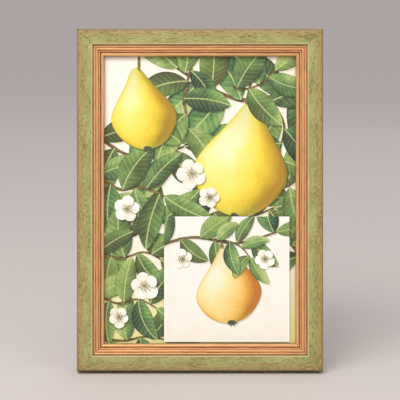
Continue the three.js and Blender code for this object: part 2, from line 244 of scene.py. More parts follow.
# %% [markdown]
# Each piece is shaped in a bmesh in its own frame. `place_piece` stands it in the world by moving its
# vertices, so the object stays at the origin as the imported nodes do, then names its body, its finish and
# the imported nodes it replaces.

# %% Placing a piece
def place_piece(name, shape, finishes, body, stands_for, matrix=STAND, sharp=40):
    bmesh.ops.transform(shape, matrix=matrix, verts=shape.verts)
    data = bpy.data.meshes.new(name)
    shape.to_mesh(data)
    shape.free()
    for finish in finishes:
        data.materials.append(finish.material)
    data.shade_smooth()
    data.set_sharp_from_angle(angle=math.radians(sharp))
    piece = bpy.data.objects.new(name, data)
    bpy.context.scene.collection.objects.link(piece)
    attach(piece, body)
    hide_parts(*stands_for)
    print(f"{name}: {len(data.polygons)} faces")
    return piece


def quadratic(start, control, end, steps):
    """Points on a quadratic curve after its start, as the moulding's cutter draws them."""
    points = []
    for i in range(1, steps + 1):
        t = i / steps
        points.append(tuple((1 - t) ** 2 * s + 2 * t * (1 - t) * c + t * t * e
                            for s, c, e in zip(start, control, end)))
    return points


# %% [markdown]
# ## The mouldings
# A moulding is one section run through a spindle cutter and cut at 45 degrees at both ends. So the
# section's outline is a closed loop of edges, extruded once along the rail, cut crossways for detail, and
# mitred with two bisecting planes. Two attributes go along with it: how far along the rail a point is,
# and how far across the face from the outer edge. The grain, paint and leaf are drawn in those, so they
# follow each rail round the frame and meet at the mitres.

# %% Sections, in millimetres: (distance in from the outer side, height above the back plane)
RAIL_SECTION = [(0, 0), (0, 6), (0, 12), (0, 15.4), (0, 16), (0, 16.7), (0, 17.4)]
RAIL_SECTION += quadratic((0, 17.4), (0, 19.2), (2, 19.5), 8)
RAIL_SECTION += quadratic((2, 19.5), (8, 20.6), (15.1, 19.6), 30)
RAIL_SECTION += quadratic((15.1, 19.6), (15.9, 19.5), (15.9, 18.8), 5)
RAIL_FACE_END = len(RAIL_SECTION)
RAIL_SECTION += [(15.9, 16.4), (15.9, 13.6), (11, 13.6), (11, 7), (11, 0)]
RAIL_ARRIS = 10  # the section point on the outer arris, where the distance across is nought

SLIP_SECTION = [(11.3, 0), (11.3, 13.3), (16.2, 13.3), (16.2, 16.7), (16.8, 16.7)]
SLIP_ARRIS = len(SLIP_SECTION) - 1
SLIP_SECTION += quadratic((16.8, 16.7), (16.9, 17.3), (17.4, 17.3), 4)
SLIP_SECTION += quadratic((17.4, 17.3), (18.3, 17.4), (18.4, 16.5), 5)
SLIP_SECTION += quadratic((18.4, 16.5), (18.6, 15.6), (19.1, 16.2), 4)
SLIP_SECTION += quadratic((19.1, 16.2), (20.4, 18.8), (21.5, 15.8), 10)
SLIP_SECTION += quadratic((21.5, 15.8), (21.7, 14.2), (22.2, 14.5), 4)
SLIP_SECTION += quadratic((22.2, 14.5), (23.0, 15.2), (23.3, 14.1), 4)
SLIP_SECTION += quadratic((23.3, 14.1), (23.5, 12.8), (24.0, 13.4), 4)
SLIP_SECTION += quadratic((24.0, 13.4), (25.4, 15.5), (26.6, 13.0), 10)
SLIP_SECTION += quadratic((26.6, 13.0), (27.4, 12.6), (27.4, 11.6), 5)
SLIP_FACE_END = len(SLIP_SECTION) + 1
SLIP_SECTION += [(27.4, 8.5), (23.4, 8.5), (23.4, 0)]
MITRE_GAP = 0.035 * MM  # a hairline left at each glued mitre


def moulding(section, arris, face_end, length, pitch, offset):
    """A mitred length: x in from the outer side, y up from the back plane, z along.

    Faces past face_end stay raw."""
    shape = bmesh.new()
    across = shape.verts.layers.float.new("across")
    along = shape.verts.layers.float.new("along")
    loop, run = [], 0.0
    for i, (x, y) in enumerate(section):
        vertex = shape.verts.new((x * MM, y * MM, 0))
        run += (vertex.co - loop[-1].co).length if loop else 0
        vertex[across] = run
        loop.append(vertex)
    start = loop[arris][across]
    for vertex in loop:
        vertex[across] -= start
    face_reach = loop[face_end - 1][across]
    edges = [shape.edges.new((a, b)) for a, b in zip(loop, loop[1:] + loop[:1])]
    grown = bmesh.ops.extrude_edge_only(shape, edges=edges)["geom"]
    ends = [g for g in grown if isinstance(g, bmesh.types.BMVert)]
    bmesh.ops.translate(shape, vec=(0, 0, length), verts=ends)
    long_edges = [e for e in shape.edges if abs(e.verts[0].co.z - e.verts[1].co.z) > length / 2]
    bmesh.ops.subdivide_edges(shape, edges=long_edges, cuts=round(length / pitch))
    for slope, corner in ((1, MITRE_GAP), (-1, length - MITRE_GAP)):
        geometry = [*shape.verts, *shape.edges, *shape.faces]
        bmesh.ops.bisect_plane(shape, geom=geometry, plane_co=(0, 0, corner), plane_no=(1, 0, -slope),
                               clear_outer=True, dist=1e-7)
        rim = [e for e in shape.edges if e.is_boundary and all(
            abs(v.co.z - corner - slope * v.co.x) < 1e-5 for v in e.verts)]
        bmesh.ops.edgeloop_fill(shape, edges=rim)
    for vertex in shape.verts:
        vertex[along] = vertex.co.z + offset
    bmesh.ops.recalc_face_normals(shape, faces=shape.faces)
    for face in shape.faces:
        reach = [v[across] for v in face.verts]
        painted = max(reach) <= face_reach + 1e-6 and len(reach) < 6 and face.normal.y > -0.5
        face.material_index = 0 if painted else 1
    return shape, across, along


def side_frames(length_x, length_z):
    """Each side's name, its length, and the matrix from its own frame to the panel's."""
    forward = Vector((0, -1, 0))
    right, up = Vector((1, 0, 0)), Vector((0, 0, 1))
    corner = HALF_WIDTH
    rows = [("bottom", length_x, up, right, (-corner, 0, 0)), ("right", length_z, -right, up, (corner, 0, 0)),
            ("top", length_x, -up, -right, (corner, 0, HEIGHT)), ("left", length_z, right, -up, (-corner,
            0, HEIGHT))]
    for name, length, inward, run, place in rows:
        turn = Matrix((inward, forward, run)).transposed().to_4x4()
        yield name, length, Matrix.Translation(place) @ turn


# %% [markdown]
# The sage paint is a thin coat over a tan ground on open-grained wood, sanded back after it dried. Long
# pits stay as dark hollows, the outer edge is rubbed to the ground, and the inner half keeps the most
# green. The pits and streaks are real relief in the mesh. The mesh also carries how deep each point lies,
# so that the colour settles in the pits.

# %% Sanded paint relief
def sanded(shape, across, along, seed):
    """Sinks pits and combs streaks into the painted face, and keeps each point's depth."""
    depth_layer = shape.verts.layers.float.new("pit")
    shape.normal_update()
    moves = []
    for vertex in shape.verts:
        run, reach = vertex[along] / MM, vertex[across] / MM
        if reach < -2.4 or reach > 15.1:
            continue
        streak = noise.noise((run / 14, reach / 0.55, seed))
        cell = noise.noise((run / 2.8, reach / 0.6, seed + 20))
        gather = noise.noise((run / 26, reach / 5, seed + 40))
        pit = min(max((cell + 0.4 * gather - 0.27) / 0.18, 0), 1)
        rub = max(1 - abs(reach) / 1.6, 0) * noise.noise((run / 9, reach / 3, seed + 60))
        vertex[depth_layer] = pit
        moves.append((vertex, vertex.normal * (-0.28 * pit + 0.05 * (streak - 1) - 0.22 * abs(rub)) * MM))
    for vertex, move in moves:
        vertex.co += move


# %% [markdown]
# The colours are laid as the maker lays them: ground, green over it where the sanding left it, dark wax in
# the pits, then the rubbed outer edge, and last the pale line along the inner edge beside the groove, which
# is partly paint worn pale on the ridge and partly a painted highlight.

# %% Sage paint and bare timber finishes
def sage_paint():
    paint = Finish("sage_paint", {"Specular IOR Level": 0.3})
    along, across, pit = (paint.attribute(a) for a in ("along", "across", "pit"))
    fine = paint.noise(paint.point(along * 130, across * 1500, 0.0), 1.0, 3.0, 0.65)
    broad = paint.noise(paint.point(along * 30, across * 300, 3.0), 1.0, 3.0, 0.6)
    cloud = paint.noise(paint.point(along * 36, across * 90, 7.0), 1.0, 2.0)
    pores = paint.noise(paint.point(along * 260, across * 1100, 11.0), 1.0, 2.0, 0.6)
    inner = across.rise(0.001, 0.0145)
    green = paint.mix(cloud.rise(0.35, 0.65), srgb(152, 150, 92), srgb(170, 172, 112))
    tan = paint.mix(fine.rise(0.3, 0.7), srgb(150, 126, 78), srgb(180, 152, 102))
    worn = (broad * 0.6 + fine * 0.4 + (0.42 - inner) * 0.24).rise(0.42, 0.58)
    colour = paint.mix(worn * 0.9, green, tan)
    colour = paint.mix(fine.rise(0.5, 0.68) * 0.6, colour, srgb(198, 182, 134))
    colour = paint.mix(fine.rise(0.48, 0.33) * 0.62, colour, srgb(112, 98, 58))
    colour = paint.mix(pores.rise(0.6, 0.68) * 0.5, colour, srgb(116, 108, 60))
    colour = paint.mix(pit * 0.7, colour, srgb(104, 96, 52))
    edge = abs(across - 0.0002).rise(0.0019, 0.0006)
    colour = paint.mix(edge * (broad * 0.8 + 0.3), colour, srgb(138, 110, 74))
    # The pale line on the ridge beside the groove: partly paint worn pale, partly a painted highlight, the
    # same on all four sides.
    worn_and_highlight_line = abs(across - 0.0152).rise(0.0011, 0.0004)
    colour = paint.mix(worn_and_highlight_line * 0.8, colour, srgb(204, 188, 140))
    lip = across.rise(0.0164, 0.017)
    paint.feed("Base Color", paint.mix(lip, colour, srgb(160, 122, 74)))
    paint.feed("Roughness", fine * 0.2 + 0.55 + pit * 0.15)
    paint.bump(fine * 0.6 + broad * 0.3 - pores * 0.3 - pit * 0.3, 0.00022)
    return paint


def bare_timber(name, light, dark):
    """Planed softwood: long latewood lines, a little fibre, no finish."""
    wood = Finish(name, {"Specular IOR Level": 0.25})
    along, across = wood.attribute("along"), wood.attribute("across")
    rings = wood.noise(wood.point(along * 5, across * 320, 0.0), 1.0, 2.0, 0.5, 0.6)
    fibre = wood.noise(wood.point(along * 60, across * 2600, 5.0), 1.0, 2.0)
    line = (rings * 6).fraction()
    colour = wood.mix(line.rise(0.35, 0.95), srgb(*light), srgb(*dark))
    colour = wood.mix(fibre * 0.5, colour, srgb(*dark))
    wood.feed("Base Color", colour)
    wood.feed("Roughness", fibre * 0.2 + 0.65)
    wood.bump(fibre * 0.5 + line * 0.3, 0.0001)
    return wood


SAGE = sage_paint()
PINE = bare_timber("bare_pine", (214, 184, 140), (172, 132, 88))
side_lengths = 2 * HALF_WIDTH, HEIGHT
for order, (name, length, matrix) in enumerate(side_frames(*side_lengths)):
    shape, across, along = moulding(RAIL_SECTION, RAIL_ARRIS, RAIL_FACE_END + 2, length, 1.0 * MM,
                                    order * 0.61)
    sanded(shape, across, along, order * 9.7)
    place_piece(f"painted_rail_{name}", shape, (SAGE, PINE), "frame", [f"rail_{name}"],
                STAND @ matrix, 60)

# %% [markdown]
# The slip's leaf is laid over a red-brown ground and rubbed through on the beads. Each step of its section
# gets a share of painted light from its own height above a straight line across the slope: a painted
# highlight keeps the beads bright and painted shade keeps the quirks brown.

# %% Rubbed copper leaf
def gilded(shape, across, along, seed):
    """Gives each point its share of leaf, which is painted light from its height (a painted highlight on the
    beads, painted shade in the quirks), and a hand-laid unevenness.
    """
    leaf = shape.verts.layers.float.new("leaf")
    shape.normal_update()
    moves = []
    for vertex in shape.verts:
        run = vertex[along] / MM
        # The share of leaf is painted light: high points get a painted highlight, low quirks painted shade.
        slope_line = 16.6 - 0.43 * (vertex.co.x / MM - 17)
        height = vertex.co.y / MM - slope_line
        vertex[leaf] = min(max((height + 1.1) / 2.2, 0), 1)
        if vertex.co.x > 16.4 * MM and vertex.co.y > 12 * MM:
            wave = noise.noise((run / 7, vertex[across] / MM / 0.8, seed))
            moves.append((vertex, vertex.normal * 0.07 * (wave - 0.5) * MM))
    for vertex, move in moves:
        vertex.co += move


def copper_leaf():
    gilt = Finish("copper_leaf", {"Metallic": 0.55})
    along, across, leaf = (gilt.attribute(a) for a in ("along", "across", "leaf"))
    drag = gilt.noise(gilt.point(along * 70, across * 900, 0.0), 1.0, 3.0, 0.6)
    patch = gilt.noise(gilt.point(along * 30, across * 220, 4.0), 1.0, 3.0)
    # The leaf share's painted highlight and shade, with the real unevenness of drag and patches added.
    leaf_and_painted_light = (leaf + (drag - 0.5) * 0.6 + (patch - 0.5) * 0.4).rise(0.22, 0.8)
    colour = gilt.mix(leaf_and_painted_light, srgb(120, 76, 42), srgb(234, 184, 130))
    colour = gilt.mix(patch.rise(0.5, 0.66) * 0.5, colour, srgb(202, 138, 104))
    colour = gilt.mix((0.42 - drag) * 3, colour, srgb(112, 74, 38))
    gilt.feed("Base Color", colour)
    gilt.feed("Roughness", 0.5 - leaf_and_painted_light * 0.14 + (drag - 0.5) * 0.2)
    gilt.bump(drag * 0.6 + patch * 0.4, 0.00012)
    return gilt


COPPER = copper_leaf()
OBECHE = bare_timber("bare_slip_timber", (222, 200, 160), (194, 164, 120))
for order, (name, length, matrix) in enumerate(side_frames(*side_lengths)):
    shape, across, along = moulding(SLIP_SECTION, SLIP_ARRIS, SLIP_FACE_END, length, 1.6 * MM, order * 0.47)
    gilded(shape, across, along, order * 5.3)
    place_piece(f"gilt_slip_{name}", shape, (COPPER, OBECHE), "frame", [f"slip_{name}"],
                STAND @ matrix, 50)

# %% [markdown]
# ## The printed sheets
# A print is one flat sheet whose picture is ink. Here each motif, such as a leaf or a pear, is an outline
# on the sheet, and a constrained triangulation cuts the sheet's face along every outline at once. Each
# small face then takes the ink of the topmost motif that covers it. The sheet stays one closed slab of
# paper, with no stacked flakes. Two things go to the inks: `place`, the position in the motif's own
# frame, and `form` and `tint`, which hold the motif's shape and tone, so one leaf ink draws every leaf.

# %% Motifs
INKS = ["ground", "leaf", "pear", "stem", "petal", "ripe"]


class Motif:
    """An outline in sheet millimetres, the ink that fills it, and its own frame."""

    def __init__(self, ink, outline, base, angle, unit, form=(0, 0, 0), tone=0.5):
        self.ink, self.outline = INKS.index(ink), outline
        self.base, self.angle, self.unit = Vector(base), angle, unit
        self.form, self.tone = form, tone

    def place(self, point):
        """A sheet point in the motif's own frame, whose y axis runs from its base to its tip."""
        return Matrix.Rotation(-self.angle, 2) @ (Vector(point) - self.base) / self.unit


def set_out(points, base, angle, unit):
    """Own-frame points laid on the sheet."""
    turn = Matrix.Rotation(angle, 2)
    return [Vector(base) + turn @ Vector(p) * unit for p in points]


def leaf_width(y):
    return (4 * y * (1 - y)) ** 0.75 * (1.15 - 0.3 * y)


def leaf(base, angle, length, width=0.21, bend=0.06, tone=0.5, seed=0.0):
    steps = [i / 18 for i in range(19)]
    side = [(4 * bend * y * (1 - y), width * leaf_width(y), y) for y in steps]
    points = [(m + w, y) for m, w, y in side] + [(m - w, y) for m, w, y in side[-2:0:-1]]
    return Motif("leaf", set_out(points, base, angle, length), base, angle, length, (width, bend, seed), tone)


def pear_width(y):
    narrowing = min(max((y - 0.3) / 0.65, 0), 1)
    return 2 * math.sqrt(max(y * (1 - y), 0)) * (1 - 0.6 * narrowing ** 2 * (3 - 2 * narrowing))


def pear_outline(width, lean):
    turns = [math.pi * i / 36 for i in range(37)]
    side = [(lean * (0.5 - 0.5 * math.cos(a)) ** 2, width * pear_width(0.5 - 0.5 * math.cos(a)),
             0.5 - 0.5 * math.cos(a)) for a in turns]
    return [(m + w, y) for m, w, y in side] + [(m - w, y) for m, w, y in side[-2:0:-1]]


def pear(base, angle, height, width=0.4, lean=0.05, tone=0.5, seed=0.0, ink="pear"):
    outline = set_out(pear_outline(width, lean), base, angle, height)
    return Motif(ink, outline, base, angle, height, (width, lean, seed), tone)


def stem(points, thick, thin, tone=0.5):
    """A tapering stem along a smooth run of points. Its frame is the sheet's own, in centimetres."""
    run = [Vector(p) for p in points]
    smooth = []
    for i in range(len(run) - 1):
        before, a, b, after = run[max(i - 1, 0)], run[i], run[i + 1], run[min(i + 2, len(run) - 1)]
        for k in range(6):
            t = k / 6
            smooth.append(0.5 * (2 * a + (b - before) * t + (2 * before - 5 * a + 4 * b - after) * t ** 2
                                 + (3 * a - before - 3 * b + after) * t ** 3))
    smooth.append(run[-1])
    left, right = [], []
    for i, spot in enumerate(smooth):
        ahead = smooth[min(i + 1, len(smooth) - 1)] - smooth[max(i - 1, 0)]
        aside = Vector((-ahead.y, ahead.x)).normalized()
        share = i / (len(smooth) - 1)
        half = (thick + (thin - thick) * share) / 2 * (1 + 0.12 * math.sin(9 * share * len(run)))
        left.append(spot + aside * half)
        right.append(spot - aside * half)
    return Motif("stem", right + left[::-1], (0, 0), 0.0, 10.0, (0, 0, 0), tone), smooth


def petal(base, angle, length, width=0.42, tone=0.6, seed=0.0):
    steps = [i / 12 for i in range(13)]
    side = [(width * math.sin(math.pi * y ** 1.6) ** 0.7 if 0 < y < 1 else 0.0, y) for y in steps]
    points = [(w, y) for w, y in side] + [(-w, y) for w, y in side[-2:0:-1]]
    return Motif("petal", set_out(points, base, angle, length), base, angle, length, (width, 0, seed), tone)


# %% [markdown]
# The triangulation works in millimetres. Every motif also drops a small hard shadow on what lies under
# it, which is its own outline moved down and right. A face in such a shadow, cast by any motif above its
# own, is printed darker.

# %% Cutting a sheet along its motifs
GROUND_UNIT = 100.0  # the bare ground is drawn in decimetres


def printed_sheet(width, height, thickness, motifs, cast):
    """A slab facing -y with its lower left front corner at the origin, its face cut along the motifs."""
    def rectangle_loop():
        corners = [(0, 0), (width, 0), (width, height), (0, height)]
        loop = []
        for (ax, ay), (bx, by) in zip(corners, corners[1:] + corners[:1]):
            loop += [Vector((ax + (bx - ax) * i / 12, ay + (by - ay) * i / 12)) for i in range(12)]
        return loop

    loops = [rectangle_loop()]
    loops += [m.outline for m in motifs]
    loops += [[p + Vector(cast) for p in m.outline] for m in motifs]
    points, faces = [], []
    for loop in loops:
        faces.append(list(range(len(points), len(points) + len(loop))))
        points += loop
    found = delaunay_2d_cdt(points, [], faces, 1, 1e-4, True)
    spots, triangles, covers = found[0], found[2], found[5]

    shape = bmesh.new()
    place_layer = shape.loops.layers.uv.new("place")
    form_layer = shape.loops.layers.float_vector.new("form")
    tint_layer = shape.loops.layers.float_vector.new("tint")
    corners = [shape.verts.new((p.x * MM, 0, p.y * MM)) for p in spots]
    ground = Motif("ground", [], (0, 0), 0.0, GROUND_UNIT)
    for triangle, cover in zip(triangles, covers):
        if 0 not in cover:
            continue
        top = max((c for c in cover if 0 < c <= len(motifs)), default=0)
        shaded = any(c - len(motifs) > top for c in cover if c > len(motifs))
        motif = motifs[top - 1] if top else ground
        face = shape.faces.new([corners[i] for i in triangle])
        face.material_index = motif.ink
        for loop, index in zip(face.loops, triangle):
            loop[place_layer].uv = motif.place(spots[index])
            loop[form_layer] = motif.form
            loop[tint_layer] = (motif.tone, float(shaded), 0)
    loose = [v for v in shape.verts if not v.link_faces]
    bmesh.ops.delete(shape, geom=loose, context="VERTS")
    rim = [e for e in shape.edges if e.is_boundary]
    grown = bmesh.ops.extrude_edge_only(shape, edges=rim)["geom"]
    walls = [g for g in grown if isinstance(g, bmesh.types.BMFace)]
    back = [g for g in grown if isinstance(g, bmesh.types.BMVert)]
    bmesh.ops.translate(shape, vec=(0, thickness, 0), verts=back)
    back_edges = [e for e in shape.edges if e.is_boundary]
    rear = bmesh.ops.edgeloop_fill(shape, edges=back_edges)["faces"]
    for face in [*walls, *rear]:
        face.material_index = len(INKS)
    bmesh.ops.recalc_face_normals(shape, faces=shape.faces)
    return shape


# %% [markdown]
# ### Inks
# Old botanical plates were printed from stone in a few transparent colours, over paper that has turned
# creamy. So each ink is a ramp of a few flat tones, picked by one number that adds light, form and a fine
# stipple. Leaves get slanting veins with a soft rise between them, and pears get a rounded light from the
# upper left and small brown specks.

# %% Ink finishes
PAPER = {"Specular IOR Level": 0.3}


def printed(name):
    """An ink with what all inks read: place, form, tone, shadow, and the stone's stipple."""
    ink = Finish(name, PAPER)
    ink.x, ink.y, _ = ink.parts(ink.uv("place"))
    ink.wide, ink.bend, ink.seed = ink.vector_attribute("form")
    ink.tone, ink.shade, _ = ink.vector_attribute("tint")
    ink.stipple = ink.noise(ink.object_place(), 900.0, 2.0, 0.6)
    ink.wash = ink.noise(ink.object_place(), 55.0, 3.0, 0.55)
    ink.feed("Roughness", ink.stipple * 0.16 + 0.5)
    ink.bump(ink.stipple, 0.00004)
    return ink


def lay(ink, colour, shadow=(58, 66, 44), depth=0.5):
    """Prints the colour, darker where another motif's shadow falls."""
    ink.feed("Base Color", ink.mix(ink.shade * depth, colour, srgb(*shadow)))
    return ink


def leaf_ink():
    ink = printed("leaf_ink")
    hump = ink.y * (1 - ink.y) * 4
    middle = ink.bend * hump
    reach = ink.wide * hump.most(0.0001) ** 0.75 * (1.15 - ink.y * 0.3)
    side = (ink.x - middle) / reach.most(0.002)
    out = abs(side)
    between = ((ink.y - out * ink.wide * 0.62) * 10 + ink.seed).fraction()
    vein = abs(between - 0.5).rise(0.42, 0.49) * out.rise(1.0, 0.7)
    rib = abs(ink.x - middle).rise(0.017, 0.005)
    form = 0.5 - side * 0.2 + (between - 0.5) * 0.15 - out.rise(0.8, 1.0) * 0.12 + (ink.y - 0.4) * 0.16
    light = form + (ink.tone - 0.5) + (ink.wash - 0.5) * 0.95 + (ink.stipple - 0.5) * 0.34
    colour = ink.ramp(light, [(0.1, (40, 56, 52)), (0.32, (60, 88, 64)), (0.52, (92, 132, 82)),
                              (0.7, (134, 168, 98)), (0.92, (188, 204, 136))])
    warm = ink.seed.fraction() * 0.5
    colour = ink.mix(warm * 0.5, colour, srgb(168, 164, 60))
    colour = ink.mix(vein * 0.26, colour, srgb(184, 202, 128))
    colour = ink.mix(rib * 0.8, colour, srgb(202, 210, 140))
    colour = ink.mix(out.rise(0.93, 0.99) * 0.35, colour, srgb(52, 70, 40))
    return lay(ink, colour, (26, 42, 34), 0.55)


def pear_ink(name, stops, flank, crown):
    """Skin lit from the upper left: a ramp for its light, one colour for the far flank and one for
    crown and eye."""
    ink = printed(name)
    narrowing = ink.y.rise(0.3, 0.95)
    reach = ink.wide * 2 * (ink.y * (1 - ink.y)).most(0.0004) ** 0.5 * (1 - narrowing * 0.6)
    side = ((ink.x - ink.bend * ink.y * ink.y) / reach).least(1.0).most(-1.0)
    up = (ink.y - 0.42) * 1.7
    towards = (1 - side * side - up * up * 0.5).most(0.0) ** 0.5
    light = side * -0.46 + up * 0.36 + towards * 0.74
    mottle = (ink.wash - 0.5) * 0.34 + (ink.stipple - 0.5) * 0.24
    colour = ink.ramp(light + mottle + (ink.tone - 0.5), stops)
    colour = ink.mix(side.rise(0.35, 0.95) * (1 - side.rise(0.9, 1.0)) * 0.5, colour, srgb(*flank))
    ends = ink.y.rise(0.55, 1.0) * 0.5 + ink.y.rise(0.16, 0.0) * 0.4
    colour = ink.mix(ends, colour, srgb(*crown))
    specks = ink.cells(ink.object_place(), 420.0).rise(0.2, 0.08)
    sparse = ink.noise(ink.object_place(), 180.0).rise(0.5, 0.62)
    colour = ink.mix(specks * sparse * 0.6, colour, srgb(150, 112, 38))
    colour = ink.mix(abs(side).rise(0.965, 1.0) * 0.5, colour, srgb(126, 108, 44))
    return lay(ink, colour, (112, 104, 40), 0.62)


def stem_ink():
    ink = printed("stem_ink")
    bark = ink.noise(ink.object_place(), 260.0, 3.0)
    light = bark * 0.7 + ink.stipple * 0.3 + (ink.tone - 0.5)
    colour = ink.ramp(light, [(0.3, (70, 56, 34)), (0.5, (116, 98, 56)), (0.7, (164, 146, 92))])
    return lay(ink, colour, (40, 36, 24), 0.6)


def petal_ink():
    ink = printed("petal_ink")
    streak = ink.noise(ink.point(ink.x * 26, ink.y * 3, ink.seed), 1.0, 2.0)
    light = ink.y * 0.35 + 0.4 + (streak - 0.5) * 0.5 - abs(ink.x) * 0.3 + (ink.tone - 0.5)
    colour = ink.ramp(light, [(0.22, (176, 176, 132)), (0.42, (224, 218, 190)), (0.62, (248, 242, 226)),
                              (0.85, (255, 252, 244))])
    colour = ink.mix(ink.y.rise(0.3, 0.02) * 0.7, colour, srgb(206, 200, 104))
    return lay(ink, colour, (150, 156, 128), 0.6)


def ground_ink(name, cream, wash, fade):
    """Unprinted paper: creamy, a little foxed, and washed with a colour towards its foot."""
    ink = printed(name)
    foxing = ink.noise(ink.object_place(), 26.0, 3.0)
    colour = ink.mix(foxing.rise(0.5, 0.75) * 0.35, srgb(*cream), srgb(236, 222, 188))
    low = (ink.y + (ink.wash - 0.5) * 0.5).rise(*fade)
    colour = ink.mix(low * 0.8, colour, srgb(*wash))
    return ink, colour


def paper_edge():
    paper = Finish("paper_edge", {"Roughness": 0.85, "Specular IOR Level": 0.2})
    fibre = paper.noise(paper.object_place(), 1400.0, 2.0)
    paper.feed("Base Color", paper.mix(fibre, srgb(226, 218, 200), srgb(250, 246, 236)))
    paper.bump(fibre, 0.00004)
    return paper


sheet_ground, sheet_colour = ground_ink("print_ground", (250, 243, 228), (224, 219, 116), (1.1, 0.1))
lay(sheet_ground, sheet_colour, (196, 190, 150), 0.5)
card_ground, card_colour = ground_ink("card_ground", (248, 242, 231), (238, 228, 206), (0.4, -0.2))
YELLOW = [(0.02, (140, 124, 44)), (0.22, (190, 162, 46)), (0.42, (228, 196, 58)), (0.64, (252, 222, 84)),
          (0.84, (255, 236, 128)), (1.0, (255, 248, 190))]
GOLDEN = [(0.02, (168, 116, 46)), (0.22, (216, 160, 60)), (0.42, (240, 190, 92)), (0.64, (252, 214, 134)),
          (0.84, (255, 230, 170)), (1.0, (255, 244, 212))]
SHEET_INKS = [leaf_ink(), pear_ink("pear_ink", YELLOW, (206, 150, 46), (184, 186, 74)), stem_ink(),
              petal_ink(),
              pear_ink("ripe_pear_ink", GOLDEN, (214, 124, 52), (206, 184, 84)), paper_edge()]

# %% [markdown]
# ### The composition
# A pear bough hangs in from the upper right and shorter ones come in from both sides. Leaves are not
# placed one by one: each twig is a run of points, and leaves spring from it by turns to either side, each
# a little different. The boughs are laid from back to front, so later motifs cover earlier ones, as a
# painter works.

# %% Leafy twigs
def leafy(points, spacing, length, tone, rng, thick=2.4, thin=1.0, spread=62):
    """A twig and its leaves, from back to front: leaves alternate along it and one ends it."""
    twig, run = stem(points, thick, thin, 0.5)
    leaves, travelled, turn = [], spacing * 0.5, 1
    for a, b in zip(run, run[1:]):
        travelled += (b - a).length
        if travelled < spacing:
            continue
        travelled = 0.0
        heading = math.atan2((b - a).y, (b - a).x) - math.pi / 2
        angle = heading + turn * math.radians(spread + rng.uniform(-20, 20))
        leaves.append(leaf(a, angle, length * rng.uniform(0.85, 1.15), rng.uniform(0.2, 0.28),
                           rng.uniform(0.03, 0.11) * -turn, tone + rng.uniform(-0.17, 0.15), rng.uniform(0,
        9)))
        turn = -turn
    ahead = run[-1] - run[-3]
    tip = math.atan2(ahead.y, ahead.x) - math.pi / 2
    leaves.append(leaf(run[-1] - ahead.normalized() * 2, tip, length * 1.05, 0.2, 0.05, tone + 0.1,
                       rng.uniform(0, 9)))
    rng.shuffle(leaves)
    return [twig] + leaves


def blossom(centre, size, rng, turn=0.0):
    """Five round petals, with a few stamens over them."""
    petals = [petal(centre, turn + i * math.tau / 5, size * rng.uniform(0.9, 1.1), 0.44, rng.uniform(0.45,
                    0.7),
                    rng.uniform(0, 9)) for i in range(5)]
    stamens = []
    for i in range(9):
        angle = turn + 0.3 + i * math.tau / 9
        end = Vector(centre) + Vector((-math.sin(angle), math.cos(angle))) * size * rng.uniform(0.3, 0.45)
        stamens.append(stem([centre, (Vector(centre) + end) / 2, end], 0.35, 1.1, 0.62)[0])
    return petals + stamens


def hanging_pear(top, angle, height, **look):
    """A pear hung by its stem: the stem's end at top, and the fruit below it turned by the angle."""
    turn = Matrix.Rotation(angle, 2)
    base = Vector(top) + turn @ Vector((0, -height))
    stalk_end = Vector(top) + turn @ Vector((height * 0.03, height * 0.2))
    stalk = stem([Vector(top) - turn @ Vector((0, height * 0.03)), Vector(top) + turn @ Vector((1.5,
                  height * 0.1)),
                  stalk_end], 3.2, 2.2, 0.55)[0]
    calyx = [leaf(base + turn @ Vector((0, 3)), angle + math.pi + a, 6.5, 0.22, 0.1, 0.15, 2.0)
             for a in (-0.9, -0.3, 0.35, 0.95)]
    return [pear(base, angle, height, **look), *calyx, stalk]


rng = random.Random(4)
W, H = [side / MM for side in (sheet_high.x - sheet_low.x, sheet_high.z - sheet_low.z)]
boughs = []
boughs += leafy([(-4, 214), (24, 196), (52, 192), (86, 204)], 13, 56, 0.34, rng, 4, 2)
boughs += leafy([(204, 90), (186, 118), (190, 150), (172, 176)], 12, 54, 0.36, rng, 4, 2)
boughs += leafy([(100, 128), (124, 138), (150, 132), (178, 142)], 13, 50, 0.36, rng, 3, 2)
boughs += leafy([(-4, 130), (20, 112), (40, 116), (58, 128)], 12, 52, 0.38, rng, 4, 2)
boughs += leafy([(W + 4, 262), (150, 250), (112, 262), (76, 284)], 13, 60, 0.5, rng, 5, 3)
boughs += leafy([(170, 252), (186, 226), (182, 196), (192, 160)], 13, 56, 0.5, rng, 3, 1.6)
boughs += leafy([(92, 284), (84, 252), (88, 222), (74, 196)], 12, 54, 0.48, rng, 3.4, 1.6)
boughs += leafy([(-4, 176), (18, 160), (42, 162), (66, 152)], 12, 54, 0.46, rng, 4, 2)
boughs += leafy([(-6, 96), (20, 90), (44, 96), (62, 88)], 12, 48, 0.46, rng, 3.4, 1.6)
boughs += leafy([(-6, 8), (22, 6), (48, 10), (76, 4)], 12, 40, 0.46, rng, 3.4, 1.6)
boughs += hanging_pear((38, 284), 0.12, 84, width=0.42, lean=-0.04, tone=0.46, seed=3.0)
boughs += hanging_pear((148, 250), -0.1, 118, width=0.43, lean=0.05, tone=0.56, seed=1.0)
boughs += leafy([(134, 264), (150, 262), (166, 270), (178, 282)], 11, 50, 0.6, rng, 3, 1.4)
boughs += leafy([(-6, 54), (16, 44), (38, 48), (58, 38)], 12, 46, 0.54, rng, 3.2, 1.4)
boughs += blossom((92, 176), 15, rng, 0.4)
boughs += blossom((26, 140), 13, rng, 1.1)
boughs += blossom((110, 152), 11, rng, 0.9)
boughs += blossom((44, 62), 15, rng, 0.2)
boughs += blossom((18, 30), 11, rng, 0.7)
shape = printed_sheet(W, H, sheet_high.y - sheet_low.y, boughs, (1.3, -1.7))
inks = [sheet_ground, *SHEET_INKS]
place_piece("pear_print", shape, inks, "frame", ["print_sheet"],
            STAND @ Matrix.Translation((sheet_low.x, sheet_low.y, sheet_low.z)))
